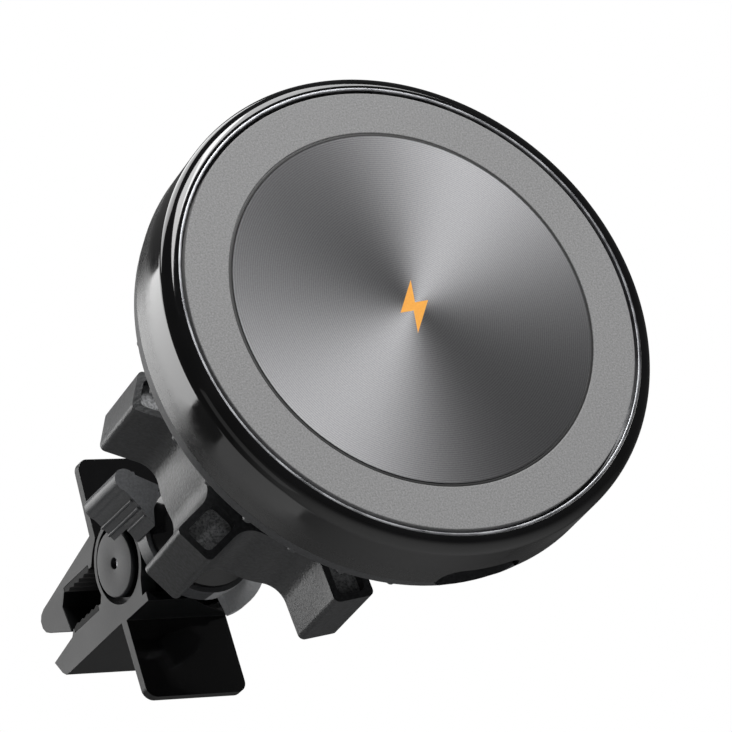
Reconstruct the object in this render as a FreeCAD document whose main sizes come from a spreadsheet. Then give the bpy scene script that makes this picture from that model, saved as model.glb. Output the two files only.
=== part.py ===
"""Magnetic charging phone mount with a ball joint and an air-vent clip.

The origin is the centre of the phone face. +Y points towards the dashboard, +Z is up and the face
looks along -Y. Pad and ball-joint pieces are drawn about the face axis: local X is right, local Y is
down and local Z is the depth behind the face. The clip's pieces are drawn the same way, in a clip that
leans a few degrees on its ball.
"""
import FreeCAD, Part
import Sketcher
import math
import os
import re

SIZES = {
    # pad, radii and depths from the phone face
    "bezel_radius": 31.15, "bezel_rounding": 1.6, "wall_inner": 29.3, "bezel_back": 9.1,
    "ledge_inner": 20.0, "ledge_back": 2.4, "face_thickness": 1.0,
    "trim_outer": 29.35, "trim_inner": 29.0, "face_ring_outer": 28.6, "accent_outer": 23.15,
    "accent_inner": 22.75, "accent_sink": 0.1, "mark_scale": 1.0, "mark_depth": 0.3,
    "post_circle": 21.5, "post_radius": 1.3, "post_bore": 0.6, "post_back": 9.9,
    "cover_radius": 30.8, "cover_front": 9.15, "cover_floor": 10.0, "cover_back": 11.4,
    "cover_rounding": 0.9, "nub_radius": 0.6, "nub_circle": 29.6, "nub_height": 0.8,
    "screw_shank": 0.75, "screw_head": 1.3, "screw_head_depth": 0.8, "screw_length": 5.0,
    # pieces inside the pad
    "coil_outer": 19.5, "coil_inner": 6.0, "coil_front": 1.15, "coil_back": 2.3,
    "ferrite_radius": 19.6, "ferrite_front": 2.45, "ferrite_back": 3.05,
    "magnet_outer": 27.6, "magnet_inner": 23.0, "magnet_front": 2.45, "magnet_back": 4.4,
    "magnet_gap_degrees": 2.5, "shunt_back": 4.95, "board_radius": 27.5, "board_front": 5.7,
    "board_back": 6.7, "board_clearance": 0.25,
    # charging socket and its recess in the rim
    "port_width": 11.0, "port_round": 2.45, "port_front": 6.1, "port_depth": 3.4, "socket_width": 8.94,
    "socket_height": 3.2, "socket_length": 7.3, "socket_wall": 0.35, "socket_mouth": 28.2,
    # ball joint, depths from the phone face
    "ball_depth": 44.0, "ball_radius": 7.5, "liner_inner": 7.55, "liner_outer": 8.2, "seat_radius": 8.3,
    "stem_flange": 14.0, "stem_flange_back": 13.6, "stem_base": 12.6, "stem_neck": 11.2,
    "thread_radius": 10.4, "thread_front": 33.0, "stem_back": 46.0, "slot_width": 1.2, "slot_front": 34.0,
    "stem_hollow": 7.0, "shank_radius": 3.6,
    # collar nut
    "nut_front": 36.5, "nut_back": 48.0, "nut_hub": 14.0, "nut_bore": 10.5, "nut_lip_front": 46.1,
    "lobe_tip": 21.4, "lobe_width": 5.6, "lobe_wall": 0.9, "lobe_recess": 1.4, "lobe_root": 3.4,
    "recess_round": 0.8, "moat_outer": 13.0, "moat_inner": 11.6, "moat_depth": 7.0, "nut_rounding": 0.8,
    # neck and lock ring of the clip, depths from the phone face
    "flange_front": 59.2, "flange_root": 4.4, "flange_edge": 63.0, "flange_back": 63.6,
    "flange_radius": 7.2, "journal_radius": 5.0, "journal_back": 66.2, "stud_press": 2.5,
    "stud_press_back": 63.5, "ring_front": 63.8, "ring_back": 66.0, "ring_radius": 7.8,
    "ring_bore": 5.05, "lug_front": 61.0, "lug_back": 69.6, "rib_radius": 0.22, "plate_radius": 10.45,
    "plate_front": 64.9,
    # pivot and levers, measured from the pivot pin
    "pivot_depth": 72.3, "pivot_rise": 0.6, "pin_radius": 1.5, "pin_fit": 0.05, "neck_hub": 5.6,
    "neck_half": 3.2, "spring_slot": 2.05, "spring_room": 4.4, "upper_knuckle": 4.4,
    "upper_inner": 3.4, "upper_outer": 5.2, "lower_hub": 5.9, "lower_inner": 5.4, "clip_half": 7.5,
    "cap_radius": 4.4, "cap_back": 8.0, "cap_gap": 0.06, "cap_hole": 0.75, "moat_deep": 1.2,
    "hub_moat_outer": 5.3,
    "wing_rounding": 1.5, "shelf_thickness": 1.2, "neck_web": 4.2,
    "pad_half": 7.5, "pad_base": 0.6, "tooth_rise": 0.35,
    "wire_half": 0.32, "coil_gap": 0.08, "spring_radius": 2.6, "spring_turns": 4.0,
    # how the clip leans on its ball, in degrees
    "lean_roll": 5.4, "lean_yaw": 7.0,
}
POSTS = 4
MAGNETS = 16
NUBS = 30
LOBES = 6
TEETH = 5
RIBS = 4
PLATE_FROM, PLATE_TO, PLATE_CHORDS = 36, 76, 8
CORNER_CHORDS = 3
POST_SPOT = ("post_circle * sqrt(0.5)", "post_circle * sqrt(0.5)")
FUNCTIONS = {"sqrt"}

doc = FreeCAD.newDocument("phone_mount")
sheet = doc.addObject("Spreadsheet::Sheet", "Sizes")
for row, (alias, value) in enumerate(SIZES.items(), start=1):
    sheet.set("A%d" % row, alias)
    sheet.set("B%d" % row, str(value))
    sheet.setAlias("B%d" % row, alias)
doc.recompute()


# ---------------------------------------------------------------- helpers
def bound(text):
    """The expression with each size name pointed at its cell."""
    return re.sub(r"[a-z][a-z_]+", lambda m: m[0] if m[0] in FUNCTIONS else "Sizes." + m[0], str(text))


def value(alias):
    """A size as a number."""
    return float(sheet.get(alias))


FACE_UP = FreeCAD.Placement(FreeCAD.Vector(0, 0, 0), FreeCAD.Rotation(FreeCAD.Vector(1, 0, 0), -90))


def leaning(depth, rise=0.0):
    """The place of a clip piece drawn about (0, depth, rise), turned with the clip about the ball."""
    ball = FreeCAD.Vector(0, value("ball_depth"), 0)
    roll, yaw = value("lean_roll"), value("lean_yaw")
    turn = FreeCAD.Rotation(FreeCAD.Vector(0, roll, yaw), math.hypot(roll, yaw))
    lean = FreeCAD.Placement(FreeCAD.Vector(0, 0, 0), turn, ball)
    shift = FreeCAD.Placement(FreeCAD.Vector(0, depth, rise), FreeCAD.Rotation())
    return lean.multiply(shift).multiply(FACE_UP)


class Piece:
    """One sub-part: a PartDesign body with its sketches and features."""

    def __init__(self, label, place=FACE_UP):
        self.body = doc.addObject("PartDesign::Body", label)
        self.body.Label = label
        self.body.AllowCompound = True
        pieces.append((self.body, place))

    def sketch(self, role, offset="0"):
        """A sketch on one of the body's own planes, moved along the plane's normal."""
        plane = next(f for f in self.body.Origin.OriginFeatures if f.Role == role)
        drawing = self.body.newObject("Sketcher::SketchObject", self.body.Name + "_sketch")
        drawing.AttachmentSupport = [(plane, "")]
        drawing.MapMode = "FlatFace"
        drawing.setExpression("AttachmentOffset.Base.z", bound(offset))
        return drawing

    def polygon(self, role, points, offset="0"):
        """A sketch of one closed outline whose corners are bound to the sheet."""
        drawing = self.sketch(role, offset)
        numbers = [[float(sheet.evalExpression(bound(text))) for text in corner] for corner in points]
        first = [FreeCAD.Vector(x, y, 0) for x, y in numbers]
        for i, start in enumerate(first):
            drawing.addGeometry(Part.LineSegment(start, first[(i + 1) % len(points)]))
        for i in range(len(points)):
            drawing.addConstraint(Sketcher.Constraint("Coincident", i, 2, (i + 1) % len(points), 1))
        for i, corner in enumerate(points):
            for kind, text, number in zip(("DistanceX", "DistanceY"), corner, numbers[i]):
                index = drawing.addConstraint(Sketcher.Constraint(kind, -1, 1, i, 1, number))
                drawing.setExpression("Constraints[%d]" % index, bound(text))
        return drawing

    def circles(self, role, rings, offset="0"):
        """A sketch of circles, each given as (x, y, radius)."""
        drawing = self.sketch(role, offset)
        for i, ring in enumerate(rings):
            numbers = [float(sheet.evalExpression(bound(text))) for text in ring]
            centre = FreeCAD.Vector(numbers[0], numbers[1], 0)
            drawing.addGeometry(Part.Circle(centre, FreeCAD.Vector(0, 0, 1), numbers[2]))
            terms = (("DistanceX", -1, 1, i, 3), ("DistanceY", -1, 1, i, 3), ("Radius", i))
            for term, text, number in zip(terms, ring, numbers):
                index = drawing.addConstraint(Sketcher.Constraint(*term, number))
                drawing.setExpression("Constraints[%d]" % index, bound(text))
        return drawing

    def feature(self, kind, drawing, **settings):
        """A sketch-based feature; text settings are expressions."""
        item = self.body.newObject("PartDesign::" + kind, self.body.Name + "_" + kind)
        item.Profile = drawing
        if kind in ("Revolution", "Groove"):
            item.ReferenceAxis = (drawing, ["V_Axis"])
            item.Angle = 360
        for key, setting in settings.items():
            if isinstance(setting, str):
                item.setExpression(key, bound(setting))
            else:
                setattr(item, key, setting)
        drawing.Visibility = False
        doc.recompute()
        return item

    def spin(self, points, **settings):
        """A solid of revolution about the depth axis from (radius, depth) corners."""
        return self.feature("Revolution", self.polygon("XZ_Plane", points), **settings)

    def pad(self, drawing, length, **settings):
        return self.feature("Pad", drawing, Length=length, **settings)

    def pocket(self, drawing, length, **settings):
        """Cuts along the sketch's normal and stops the build if nothing was cut."""
        before = self.body.Shape.Volume
        item = self.feature("Pocket", drawing, Length=length, Reversed=True, **settings)
        if self.body.Shape.Volume > before - 1e-6:
            raise RuntimeError(self.body.Label + ": a pocket cut nothing")
        return item

    def ball(self, kind, radius, centre, **settings):
        """Adds or cuts a sphere on the depth axis."""
        item = self.body.newObject("PartDesign::" + kind + "Sphere", self.body.Name + "_sphere")
        plane = next(f for f in self.body.Origin.OriginFeatures if f.Role == "XY_Plane")
        item.AttachmentSupport = [(plane, "")]
        item.MapMode = "FlatFace"
        item.setExpression("AttachmentOffset.Base.z", bound(centre))
        item.setExpression("Radius", bound(radius))
        for key, setting in settings.items():
            setattr(item, key, setting)
        doc.recompute()
        return item

    def around(self, originals, count):
        """Repeats features evenly round the depth axis."""
        item = self.body.newObject("PartDesign::PolarPattern", self.body.Name + "_pattern")
        item.Originals = originals
        axis = next(f for f in self.body.Origin.OriginFeatures if f.Role == "Z_Axis")
        item.Axis = (axis, [""])
        item.Angle = 360
        item.Occurrences = count
        self.body.Tip = item
        doc.recompute()
        return item

    def mirror(self, originals):
        """Repeats features on the other side of the middle plane."""
        item = self.body.newObject("PartDesign::Mirrored", self.body.Name + "_mirror")
        item.Originals = originals
        plane = next(f for f in self.body.Origin.OriginFeatures if f.Role == "YZ_Plane")
        item.MirrorPlane = (plane, [""])
        self.body.Tip = item
        doc.recompute()
        return item

    def fillet(self, radius, chosen):
        """Rounds the edges that the test picks out in the body's own frame."""
        base = self.body.Tip
        names = ["Edge%d" % (i + 1) for i, edge in enumerate(base.Shape.Edges) if chosen(edge)]
        if not names:
            raise RuntimeError(self.body.Label + ": no edge to round")
        item = self.body.newObject("PartDesign::Fillet", self.body.Name + "_fillet")
        item.Base = (base, names)
        item.setExpression("Radius", bound(radius))
        doc.recompute()
        return item


def box_corners(left, right, low, high):
    """The four corners of an upright rectangle."""
    return [(left, low), (right, low), (right, high), (left, high)]


def ring_edge(radius, depth):
    """Picks circular edges about the depth axis with this radius at this depth."""
    def test(edge):
        curve = edge.Curve
        if not isinstance(curve, Part.Circle):
            return False
        return abs(curve.Radius - radius) < 1e-3 and abs(curve.Center.z - depth) < 1e-3
    return test


def rounded_corners(left, right, low, high, radius):
    """The corners of an upright rectangle whose own corners are rounded in short chords."""
    turns = [math.radians(90 * step / CORNER_CHORDS) for step in range(CORNER_CHORDS + 1)]
    corners = []
    for side, end, across, along in ((right, high, -1, -1), (left, high, 1, -1), (left, low, 1, 1),
                                     (right, low, -1, 1)):
        arc = [(side, end, across * (1 - math.cos(turn)), along * (1 - math.sin(turn))) for turn in turns]
        corners += arc if across * along > 0 else arc[::-1]
    return [("%s + %.5f * %s" % (x, right_by, radius), "%s + %.5f * %s" % (y, up_by, radius))
            for x, y, right_by, up_by in corners]


def along_depth(test):
    """Picks edges that run mostly along the depth axis and whose middle passes a test of (x, y)."""
    def chosen(edge):
        ends = [v.Point for v in edge.Vertexes]
        if len(ends) != 2:
            return False
        run = ends[1] - ends[0]
        middle = (ends[0] + ends[1]) * 0.5
        return abs(run.z) > 0.9 * run.Length and test(middle.x, middle.y)
    return chosen


pieces = []


# ---------------------------------------------------------------- pad
def front_bezel():
    piece = Piece("front_bezel")
    piece.spin([("ledge_inner", "face_thickness"), ("trim_outer", "face_thickness"), ("trim_outer", "0"),
                ("bezel_radius", "0"), ("bezel_radius", "bezel_back"), ("wall_inner", "bezel_back"),
                ("wall_inner", "ledge_back"), ("ledge_inner", "ledge_back")])
    piece.fillet("bezel_rounding", ring_edge(value("bezel_radius"), 0))
    post = piece.pad(piece.circles("XY_Plane", [POST_SPOT + ("post_radius",)], "ledge_back - 0.2"),
                     "post_back - ledge_back + 0.2")
    piece.around([post], POSTS)
    bore_spot = piece.circles("XY_Plane", [POST_SPOT + ("post_bore",)], "cover_back - screw_length - 0.5")
    bore = piece.pocket(bore_spot, "screw_length")
    piece.around([bore], POSTS)
    port_recess(piece)


def port_recess(piece):
    """The round-ended opening in the lower rim for a charging plug, cut from outside."""
    outside = "0 - bezel_radius - 1"
    middle, end = "port_front + port_round", "port_width / 2 - port_round"
    corners = box_corners("port_round - port_width / 2", end, "port_front", "port_front + port_round * 2")
    piece.pocket(piece.polygon("XZ_Plane", corners, outside), "port_depth + 1")
    ends = [("port_round - port_width / 2", middle, "port_round"), (end, middle, "port_round")]
    piece.pocket(piece.circles("XZ_Plane", ends, outside), "port_depth + 1")


def flat_ring(label, inner, outer, front, back):
    """A flat ring, or a disc where the inner radius is nought."""
    piece = Piece(label)
    piece.spin([(inner, front), (outer, front), (outer, back), (inner, back)])
    return piece


def bolt_outline():
    """A plain lightning bolt, as the general sign for charging."""
    corners = [(0.9, -3.4), (-2.1, 0.5), (-0.3, 0.5), (-0.9, 3.4), (2.1, -0.5), (0.3, -0.5)]
    return [("%g * mark_scale" % x, "%g * mark_scale" % y) for x, y in corners]


def face_pieces():
    flat_ring("trim_ring", "trim_inner", "trim_outer", "0", "face_thickness")
    flat_ring("face_ring", "accent_outer", "face_ring_outer", "0", "face_thickness")
    flat_ring("accent_ring", "accent_inner", "accent_outer", "accent_sink", "face_thickness")
    disc = flat_ring("face_disc", "0", "accent_inner", "0", "face_thickness")
    disc.pocket(disc.polygon("XY_Plane", bolt_outline()), "mark_depth")
    mark = Piece("charge_mark")
    mark.pad(mark.polygon("XY_Plane", bolt_outline()), "mark_depth")


def charging_pieces():
    flat_ring("charging_coil", "coil_inner", "coil_outer", "coil_front", "coil_back")
    flat_ring("ferrite_sheet", "0", "ferrite_radius", "ferrite_front", "ferrite_back")
    magnets = Piece("magnet_ring")
    arc = magnets.spin([("magnet_inner", "magnet_front"), ("magnet_outer", "magnet_front"),
                        ("magnet_outer", "magnet_back"), ("magnet_inner", "magnet_back")])
    arc.setExpression("Angle", "%g - Sizes.magnet_gap_degrees" % (360 / MAGNETS))
    doc.recompute()
    magnets.around([arc], MAGNETS)
    flat_ring("shunt_plate", "magnet_inner", "magnet_outer", "magnet_back", "shunt_back")
    board = flat_ring("circuit_board", "0", "board_radius", "board_front", "board_back")
    hole_spot = board.circles("XY_Plane", [POST_SPOT + ("post_radius + board_clearance",)], "board_front")
    hole = board.pocket(hole_spot, "board_back - board_front")
    board.around([hole], POSTS)


def usb_c_socket():
    piece = Piece("usb_c_socket")
    half = "socket_width / 2"
    low, high = "board_back", "board_back + socket_height"
    mouth = "0 - socket_mouth"
    piece.pad(piece.polygon("XZ_Plane", box_corners("0 - " + half, half, low, high), mouth), "socket_length")
    piece.fillet("socket_height * 0.42", socket_long_edge)
    inner = box_corners("socket_wall * 2 - " + half, half + " - socket_wall * 2", low + " + socket_wall",
                        high + " - socket_wall")
    piece.pocket(piece.polygon("XZ_Plane", inner, mouth), "socket_length - socket_wall * 3")
    middle = "board_back + socket_height / 2"
    tongue = box_corners("0 - socket_width * 0.37", "socket_width * 0.37", middle + " - socket_wall",
                         middle + " + socket_wall")
    drawing = piece.polygon("XZ_Plane", tongue, mouth + " + socket_wall * 2")
    piece.pad(drawing, "socket_length - socket_wall * 3")


def socket_long_edge(edge):
    """Picks the four edges that run into the pad."""
    ends = [v.Point for v in edge.Vertexes]
    return abs(ends[0].y - ends[1].y) > 1


def back_cover():
    piece = Piece("back_cover")
    piece.spin([("stem_hollow", "cover_floor"), ("wall_inner", "cover_floor"),
                ("wall_inner", "cover_front"), ("cover_radius", "cover_front"),
                ("cover_radius", "cover_back"), ("stem_hollow", "cover_back")])
    piece.fillet("cover_rounding", ring_edge(value("cover_radius"), value("cover_back")))
    nub = piece.pad(piece.circles("XY_Plane", [("nub_circle", "0", "nub_radius")], "cover_back - 0.6"),
                    "nub_height + 0.6")
    piece.around([nub], NUBS)
    head_spot = piece.circles("XY_Plane", [POST_SPOT + ("screw_head + 0.1",)],
                              "cover_back - screw_head_depth")
    sink = piece.pocket(head_spot, "screw_head_depth + 0.1")
    shank_spot = piece.circles("XY_Plane", [POST_SPOT + ("screw_shank + 0.1",)], "cover_floor - 0.1")
    hole = piece.pocket(shank_spot, "cover_back - cover_floor")
    piece.around([sink, hole], POSTS)
    port_recess(piece)


def cover_screws():
    piece = Piece("cover_screws")
    head_spot = piece.circles("XY_Plane", [POST_SPOT + ("screw_head",)], "cover_back - screw_head_depth")
    head = piece.pad(head_spot, "screw_head_depth - 0.05")
    shank_spot = piece.circles("XY_Plane", [POST_SPOT + ("post_bore",)], "cover_back - screw_length")
    shank = piece.pad(shank_spot, "screw_length - screw_head_depth")
    piece.around([head, shank], POSTS)


# ---------------------------------------------------------------- ball joint
def ball_socket():
    piece = Piece("ball_socket")
    piece.spin([("stem_hollow", "cover_back"), ("stem_flange", "cover_back"),
                ("stem_flange", "stem_flange_back"), ("stem_base", "stem_flange_back"),
                ("stem_neck", "thread_front"), ("thread_radius", "thread_front"),
                ("thread_radius", "stem_back"), ("stem_hollow", "stem_back")])
    piece.ball("Subtractive", "seat_radius", "ball_depth")
    seat = piece.circles("XY_Plane", [("0", "0", "seat_radius")], "ball_depth")
    piece.pocket(seat, "stem_back - ball_depth")
    corners = box_corners("0 - slot_width / 2", "slot_width / 2", "stem_hollow - 1", "stem_neck + 1")
    slot = piece.pocket(piece.polygon("XY_Plane", corners, "slot_front"), "stem_back - slot_front")
    piece.around([slot], POSTS)


def ball_liner(label, low_latitude, high_latitude):
    """A thin spherical band that the ball turns in; latitudes count from the ball's middle."""
    piece = Piece(label)
    piece.ball("Additive", "liner_outer", "ball_depth", Angle1=low_latitude, Angle2=high_latitude)
    piece.ball("Subtractive", "liner_inner", "ball_depth")


def collar_nut():
    piece = Piece("collar_nut")
    length = "nut_back - nut_front"
    piece.pad(piece.circles("XY_Plane", [("0", "0", "nut_hub")], "nut_front"), length)
    half = "lobe_width / 2"
    lobe = piece.pad(piece.polygon("XY_Plane", box_corners("0 - " + half, half, "nut_bore + 1", "lobe_tip"),
                                   "nut_front"), length)
    piece.around([lobe], LOBES)
    tip = value("lobe_tip")
    piece.fillet("nut_rounding", along_depth(lambda x, y: math.hypot(x, y) > tip - 0.5))
    hub = value("nut_hub")
    piece.fillet("lobe_root", along_depth(lambda x, y: abs(math.hypot(x, y) - hub) < 0.05))
    recess = rounded_corners("lobe_wall - " + half, half + " - lobe_wall", "nut_hub + 0.6",
                             "lobe_tip - lobe_wall", "recess_round")
    hollow = piece.pocket(piece.polygon("XY_Plane", recess, "nut_front"), "lobe_recess")
    piece.around([hollow], LOBES)
    moat = [("0", "0", "moat_outer"), ("0", "0", "moat_inner")]
    piece.pocket(piece.circles("XY_Plane", moat, "nut_front"), "moat_depth")
    bore = piece.circles("XY_Plane", [("0", "0", "nut_bore")], "nut_front")
    piece.pocket(bore, "nut_lip_front - nut_front")
    piece.ball("Subtractive", "seat_radius", "ball_depth")


def ball_stud():
    piece = Piece("ball_stud", leaning(0))
    piece.ball("Additive", "ball_radius", "ball_depth")
    shank = piece.circles("XY_Plane", [("0", "0", "shank_radius")], "ball_depth")
    piece.pad(shank, "flange_front - ball_depth")
    piece.pad(piece.circles("XY_Plane", [("0", "0", "stud_press")], "flange_front - 1"),
              "stud_press_back - flange_front + 1")


# ---------------------------------------------------------------- vent clip
def clip_neck():
    piece = Piece("clip_neck", leaning(0))
    piece.spin([("0", "flange_front"), ("flange_root", "flange_front"), ("flange_radius", "flange_edge"),
                ("flange_radius", "flange_back"), ("journal_radius", "flange_back"),
                ("journal_radius", "journal_back"), ("0", "journal_back")])
    web = [("0 - neck_web", "journal_back - 0.1"), ("neck_web", "journal_back - 0.1"),
           ("neck_web - pivot_rise", "pivot_depth"), ("0 - neck_web - pivot_rise", "pivot_depth")]
    piece.pad(piece.polygon("YZ_Plane", web), "neck_half * 2", Midplane=True)
    pivot = ("0 - pivot_rise", "pivot_depth")
    piece.pad(piece.circles("YZ_Plane", [pivot + ("neck_hub",)]), "neck_half * 2", Midplane=True)
    piece.pocket(piece.circles("YZ_Plane", [pivot + ("spring_room",)]), "spring_slot * 2", Midplane=True)
    opening = box_corners("0 - spring_room - pivot_rise", "spring_room - pivot_rise", "pivot_depth",
                          "pivot_depth + neck_hub + 1")
    piece.pocket(piece.polygon("YZ_Plane", opening), "spring_slot * 2", Midplane=True)
    piece.pocket(piece.circles("YZ_Plane", [pivot + ("pin_radius",)]), "neck_half * 2 + 1", Midplane=True)
    piece.pocket(piece.circles("XY_Plane", [("0", "0", "stud_press")], "flange_front"),
                 "stud_press_back - flange_front")


def lock_ring():
    """The turning ring that locks the clip, with one ribbed finger lug and one flat thumb plate."""
    piece = Piece("lock_ring", leaning(0))
    piece.spin([("ring_bore", "ring_front"), ("ring_radius", "ring_front"), ("ring_radius", "ring_back"),
                ("ring_bore", "ring_back")])
    bridge = [("-7.3", "-0.6"), ("-9.2", "-3.1"), ("-9.2", "-8.0"), ("-4.4", "-5.4"), ("-5.6", "-2.4")]
    root = [("-7.9", "-0.6"), ("-9.2", "-3.1"), ("-9.2", "-8.0"), ("-5.6", "-6.2"), ("-7.4", "-2.9")]
    grip = [("-8.8", "-2.6"), ("-10.6", "-5.2"), ("-11.6", "-6.4"), ("-11.2", "-7.8"), ("-10.2", "-8.4"),
            ("-8.8", "-8.2")]
    piece.pad(piece.polygon("XY_Plane", bridge, "ring_front"), "ring_back - ring_front")
    piece.pad(piece.polygon("XY_Plane", root, "lug_front"), "ring_back - lug_front")
    piece.pad(piece.polygon("XY_Plane", grip, "lug_front"), "lug_back - lug_front")
    piece.pad(piece.circles("XY_Plane", [("-10.3", "-7.1", "1.6")], "lug_front"), "lug_back - lug_front")
    for step in range(RIBS):
        place = ("%g" % (-7.9 - 0.72 * step), "%g" % (-1.2 - 1.06 * step), "rib_radius")
        piece.pad(piece.circles("XY_Plane", [place], "lug_front + 0.4"), rib_length(step))
    chord = (PLATE_TO - PLATE_FROM) / PLATE_CHORDS
    rim = [math.radians(PLATE_FROM + step * chord) for step in range(PLATE_CHORDS + 1)]
    plate = [tuple("plate_radius * %.5f" % part for part in (math.cos(angle), math.sin(angle)))
             for angle in rim]
    piece.pad(piece.polygon("XY_Plane", plate + [("1.6", "6.4"), ("5.4", "3.7")], "plate_front"),
              "ring_back + 0.2 - plate_front")


def rib_length(step):
    """Ribs on the root stop with it; those on the grip run its whole length."""
    return "ring_back - lug_front - 0.4" if step < 2 else "lug_back - lug_front - 0.4"


def profile(points):
    """Corners given as (depth, rise) from the pin, as (down, depth) sketch points."""
    return [("%g" % -rise, "%g" % depth) for depth, rise in points]


def lever(label, outline, knuckle, inner, outer, web, tooth_room):
    """A clip lever: wing and jaw in one profile, with two knuckles on the pin."""
    piece = Piece(label, leaning(value("pivot_depth"), value("pivot_rise")))
    piece.pad(piece.polygon("YZ_Plane", profile(outline)), "clip_half * 2", Midplane=True)
    hub = piece.pad(piece.circles("YZ_Plane", [("0", "0", knuckle)], inner), outer + " - " + inner)
    arm = piece.pad(piece.polygon("YZ_Plane", profile(web), inner), outer + " - " + inner)
    piece.mirror([hub, arm])
    bore = piece.circles("YZ_Plane", [("0", "0", "pin_radius + pin_fit")])
    piece.pocket(bore, "clip_half * 2 + 2", Midplane=True)
    piece.pocket(piece.polygon("YZ_Plane", profile(tooth_room)), "pad_half * 2 + 0.2", Midplane=True)
    return piece


def wing_corner(rise):
    """Picks the wing's two outer corners."""
    def test(x, y):
        return abs(abs(x) - value("clip_half")) < 1e-3 and abs(y + rise) < 0.4
    return along_depth(test)


def upper_lever():
    outline = [(3.5, 5.3), (3.0, 16.4), (4.2, 16.4), (4.8, 6.2), (20.2, 2.8), (21.1, 2.35),
               (21.6, 1.6), (21.55, 0.6), (21.0, -0.2), (20.1, -0.7),
               (14.8, -2.9), (15.4, 0.9), (14.2, 2.4), (6.2, 2.4), (5.0, 3.95)]
    web = [(0, 4.2), (3.6, 5.5), (5.2, 4.2), (6.4, 2.6), (4.2, 0.4)]
    room = [(7.0, 2.2), (14.0, 2.2), (14.0, 3.0), (7.0, 3.0)]
    piece = lever("upper_lever", outline, "upper_knuckle", "upper_inner", "upper_outer", web, room)
    piece.fillet("wing_rounding", wing_corner(16.4))


def lower_lever():
    outline = [(1.4, -6.3), (1.1, -18.3), (2.3, -18.3), (2.7, -7.2), (17.7, -7.4), (18.8, -7.3),
               (19.5, -6.7), (20.8, -4.7), (15.0, -3.6), (14.2, -2.8), (6.4, -2.8), (4.6, -4.6), (2.6, -5.95)]
    web = [(-4.6, -3.2), (-3.6, -6.4), (2.6, -6.4), (4.6, -4.8), (6.4, -3.0), (4.4, 0)]
    room = [(7.0, -3.4), (14.0, -3.4), (14.0, -2.6), (7.0, -2.6)]
    piece = lever("lower_lever", outline, "lower_hub", "lower_inner", "clip_half", web, room)
    plan = [("0 - clip_half", "1.6"), ("0 - clip_half", "-4.7"), ("-1.0", "-4.7"), ("3.5", "-1.5"),
            ("clip_half", "0.5"), ("clip_half", "1.6")]
    piece.pad(piece.polygon("XZ_Plane", plan, "-7.4"), "shelf_thickness")
    ring = [("0", "0", "hub_moat_outer"), ("0", "0", "cap_radius")]
    moat = piece.pocket(piece.circles("YZ_Plane", ring, "clip_half - moat_deep"), "moat_deep + 0.1")
    piece.mirror([moat])
    piece.fillet("wing_rounding", wing_corner(-18.3))


def jaw_pad(label, seat, side):
    """A toothed strip; side is the way its teeth point, up or down."""
    piece = Piece(label, leaning(value("pivot_depth"), value("pivot_rise")))
    surface = seat + side * value("pad_base")
    points = [(7.05, seat), (7.05, surface)]
    for tooth in range(TEETH):
        start = 7.05 + tooth * 6.9 / TEETH
        points += [(start + 0.3, surface + side * value("tooth_rise")), (start + 6.9 / TEETH, surface)]
    points.append((13.95, seat))
    piece.pad(piece.polygon("YZ_Plane", profile(points)), "pad_half * 2", Midplane=True)


def pivot_pieces():
    place = leaning(value("pivot_depth"), value("pivot_rise"))
    pin = Piece("pivot_pin", place)
    pin.pad(pin.circles("YZ_Plane", [("0", "0", "pin_radius")]), "(clip_half + cap_gap) * 2", Midplane=True)
    for label, side in (("pivot_cap_left", "-1"), ("pivot_cap_right", "1")):
        cap = Piece(label, place)
        start = "clip_half + cap_gap" if side == "1" else "0 - cap_back"
        cap.pad(cap.circles("YZ_Plane", [("0", "0", "cap_radius")], start), "cap_back - clip_half - cap_gap")
        hole_start = "cap_back - cap_hole" if side == "1" else "0 - cap_back"
        cap.pocket(cap.circles("YZ_Plane", [("0", "0", "cap_hole")], hole_start), "cap_hole")


def torsion_spring():
    """A coil of square wire about the pin, drawn from a helix."""
    turns, half, radius = value("spring_turns"), value("wire_half"), value("spring_radius")
    pitch = 2 * half + value("coil_gap")
    helix = Part.makeHelix(pitch, pitch * turns, radius)
    corners = [(-1, -1), (1, -1), (1, 1), (-1, 1), (-1, -1)]
    section = Part.makePolygon([FreeCAD.Vector(radius + half * side, 0, half * end) for side, end in corners])
    item = doc.addObject("Part::Feature", "torsion_spring")
    item.Shape = Part.Wire(helix).makePipeShell([section], True, True)
    middle = FreeCAD.Placement(FreeCAD.Vector(0, 0, -pitch * turns / 2), FreeCAD.Rotation())
    across = FreeCAD.Placement(FreeCAD.Vector(0, 0, 0), FreeCAD.Rotation(FreeCAD.Vector(0, 1, 0), 90))
    place = leaning(value("pivot_depth"), value("pivot_rise")).multiply(across).multiply(middle)
    pieces.append((item, place))


# ---------------------------------------------------------------- build, check and write
front_bezel()
face_pieces()
charging_pieces()
usb_c_socket()
back_cover()
cover_screws()
ball_socket()
ball_liner("liner_front", -60, -12)
ball_liner("liner_rear", 12, 34)
collar_nut()
ball_stud()
clip_neck()
lock_ring()
upper_lever()
lower_lever()
jaw_pad("upper_jaw_pad", 3.0, -1)
jaw_pad("lower_jaw_pad", -3.4, 1)
pivot_pieces()
torsion_spring()
for item, place in pieces:
    item.Placement = place
doc.recompute()

for item in doc.Objects:
    if "Invalid" in item.State or "Error" in item.State:
        raise RuntimeError("%s is %s" % (item.Name, item.State))
os.makedirs("parts", exist_ok=True)
for item, place in pieces:
    shape = item.Shape
    if shape.isNull() or not shape.isValid() or not shape.Solids:
        raise RuntimeError(item.Label + " has no valid solid")
    shape.exportStep("parts/%s.step" % item.Label)
    print("%-16s solids %2d  volume %9.2f" % (item.Label, len(shape.Solids), shape.Volume))
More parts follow.
